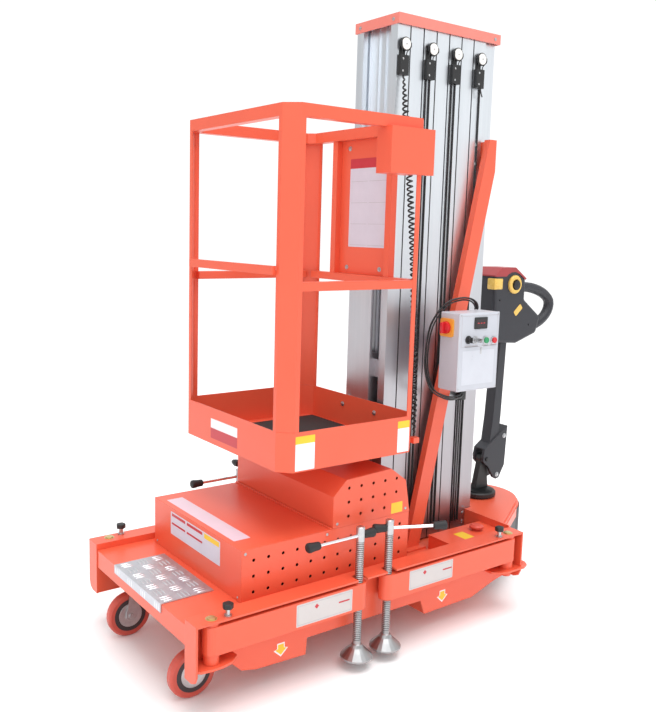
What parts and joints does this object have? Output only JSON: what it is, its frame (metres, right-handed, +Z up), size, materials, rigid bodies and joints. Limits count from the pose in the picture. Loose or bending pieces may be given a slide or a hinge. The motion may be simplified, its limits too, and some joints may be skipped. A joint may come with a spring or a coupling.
{
  "type": "vertical mast lift",
  "caption": "Upright nested aluminium mast with a railed work basket on a walk-behind chassis with swing-out outriggers and a tiller.",
  "frame": {"origin": "on the floor under the middle of the machine's overall box, stowed", "axes": "+Z up, -Y to the front where the step is, +X to the machine's right-hand side seen from behind"},
  "size_m": [0.8534, 1.8338, 1.99],
  "materials": {
    "orange_paint": "orange-red powder coat",
    "orange_paint_pale": "orange-red powder coat, a little paler",
    "anodised_aluminium": "natural anodised extrusion",
    "tread_aluminium": "bright chequered plate",
    "zinc_steel": "bright zinc",
    "black_plastic": "moulded black",
    "charcoal_plastic": "moulded charcoal",
    "black_rubber": "matt",
    "red_urethane": "satin red urethane tread",
    "dark_urethane": "satin dark urethane tread",
    "box_enamel": "light grey enamel",
    "red_plastic": "gloss red",
    "battery_case": "plain case"
  },
  "bodies": {
    "chassis": {"side_frame_right": "orange_paint", "side_frame_left": "orange_paint", "front_deck": "orange_paint", "step_tread": "tread_aluminium", "base_tray": "orange_paint", "lower_cover": "orange_paint", "upper_cover": "orange_paint", "power_block": "battery_case", "mast_section_4": "anodised_aluminium", "strut_right": "orange_paint", "strut_left": "orange_paint", "control_box": "box_enamel", "control_cable": "black_rubber", "drive_cover": "orange_paint", "bumper": "charcoal_plastic", "release_lever": "black_plastic", "stop_button": "red_plastic", "cable_guide_4": "black_plastic"},
    "mast_3": {"mast_section_3": "anodised_aluminium", "cable_guide_3": "black_plastic"},
    "mast_2": {"mast_section_2": "anodised_aluminium", "cable_guide_2": "black_plastic"},
    "mast_1": {"mast_section_1": "anodised_aluminium", "cable_guide_1": "black_plastic", "mast_cap": "orange_paint_pale", "coil_cord": "black_rubber"},
    "basket": {"carriage": "anodised_aluminium", "basket_pan": "orange_paint", "basket_frame": "orange_paint", "rear_panel": "orange_paint", "floor_mat": "black_rubber"},
    "entry_bar": {"entry_bar": "orange_paint"},
    "steering": {"steer_head": "black_plastic"},
    "drive_wheel": {"drive_wheel": "dark_urethane"},
    "tiller": {"tiller": "charcoal_plastic"},
    "outrigger_front_right": {"outrigger_arm_front_right": "orange_paint"},
    "jack_front_right": {"jack_front_right": "zinc_steel"},
    "outrigger_front_left": {"outrigger_arm_front_left": "orange_paint"},
    "jack_front_left": {"jack_front_left": "zinc_steel"},
    "outrigger_rear_right": {"outrigger_arm_rear_right": "orange_paint"},
    "jack_rear_right": {"jack_rear_right": "zinc_steel"},
    "outrigger_rear_left": {"outrigger_arm_rear_left": "orange_paint"},
    "jack_rear_left": {"jack_rear_left": "zinc_steel"},
    "caster_right": {"caster_fork_right": "zinc_steel"},
    "caster_wheel_right": {"caster_wheel_right": "red_urethane"},
    "caster_left": {"caster_fork_left": "zinc_steel"},
    "caster_wheel_left": {"caster_wheel_left": "red_urethane"}
  },
  "joints": [
    {"name": "mast_3_lift", "type": "slide", "parent": "chassis", "child": "mast_3", "axis": [0, 0, 1], "range_m": [0, 1.3]},
    {"name": "mast_2_lift", "type": "slide", "parent": "mast_3", "child": "mast_2", "axis": [0, 0, 1], "range_m": [0, 1.3]},
    {"name": "mast_1_lift", "type": "slide", "parent": "mast_2", "child": "mast_1", "axis": [0, 0, 1], "range_m": [0, 1.3]},
    {"name": "basket_lift", "type": "slide", "parent": "mast_1", "child": "basket", "axis": [0, 0, 1], "range_m": [0, 1.04], "deforming": ["coil_cord"]},
    {"name": "entry_bar_lift", "type": "slide", "parent": "basket", "child": "entry_bar", "axis": [0, 0, 1], "range_m": [0, 0.35]},
    {"name": "outrigger_front_right_swing", "type": "hinge", "parent": "chassis", "child": "outrigger_front_right", "pos_m": [0.341, -0.8555, 0.19], "axis": [0, 0, -1], "range_deg": [0, 115]},
    {"name": "jack_front_right_screw", "type": "slide", "parent": "outrigger_front_right", "child": "jack_front_right", "axis": [0, 0, -1], "range_m": [-0.04, 0.1]},
    {"name": "outrigger_front_left_swing", "type": "hinge", "parent": "chassis", "child": "outrigger_front_left", "pos_m": [-0.341, -0.8555, 0.19], "axis": [0, 0, 1], "range_deg": [0, 115]},
    {"name": "jack_front_left_screw", "type": "slide", "parent": "outrigger_front_left", "child": "jack_front_left", "axis": [0, 0, -1], "range_m": [-0.04, 0.1]},
    {"name": "outrigger_rear_right_swing", "type": "hinge", "parent": "chassis", "child": "outrigger_rear_right", "pos_m": [0.341, 0.3145, 0.19], "axis": [0, 0, 1], "range_deg": [0, 115]},
    {"name": "jack_rear_right_screw", "type": "slide", "parent": "outrigger_rear_right", "child": "jack_rear_right", "axis": [0, 0, -1], "range_m": [-0.04, 0.1]},
    {"name": "outrigger_rear_left_swing", "type": "hinge", "parent": "chassis", "child": "outrigger_rear_left", "pos_m": [-0.341, 0.3145, 0.19], "axis": [0, 0, -1], "range_deg": [0, 115]},
    {"name": "jack_rear_left_screw", "type": "slide", "parent": "outrigger_rear_left", "child": "jack_rear_left", "axis": [0, 0, -1], "range_m": [-0.04, 0.1]},
    {"name": "caster_right_swivel", "type": "hinge", "parent": "chassis", "child": "caster_right", "pos_m": [0.2125, -0.8155, 0.19], "axis": [0, 0, 1], "continuous": true},
    {"name": "caster_right_roll", "type": "hinge", "parent": "caster_right", "child": "caster_wheel_right", "pos_m": [0.2125, -0.8455, 0.0715], "axis": [1, 0, 0], "continuous": true},
    {"name": "caster_left_swivel", "type": "hinge", "parent": "chassis", "child": "caster_left", "pos_m": [-0.2125, -0.8155, 0.19], "axis": [0, 0, 1], "continuous": true},
    {"name": "caster_left_roll", "type": "hinge", "parent": "caster_left", "child": "caster_wheel_left", "pos_m": [-0.2125, -0.8455, 0.0715], "axis": [1, 0, 0], "continuous": true},
    {"name": "steering_turn", "type": "hinge", "parent": "chassis", "child": "steering", "pos_m": [0, 0.5325, 0.105], "axis": [0, 0, 1], "range_deg": [-90, 90]},
    {"name": "drive_wheel_roll", "type": "hinge", "parent": "steering", "child": "drive_wheel", "pos_m": [0, 0.5325, 0.105], "axis": [1, 0, 0], "continuous": true},
    {"name": "tiller_tilt", "type": "hinge", "parent": "steering", "child": "tiller", "pos_m": [0, 0.5455, 0.437], "axis": [1, 0, 0], "range_deg": [-75, 0], "stiffness_Nm_per_rad": 30, "springref_deg": 20.05}
  ],
  "couplings": [
    {"joint": "mast_2_lift", "follows": "mast_3_lift", "ratio": 1},
    {"joint": "mast_1_lift", "follows": "mast_3_lift", "ratio": 1},
    {"joint": "basket_lift", "follows": "mast_3_lift", "ratio": 0.8}
  ]
}
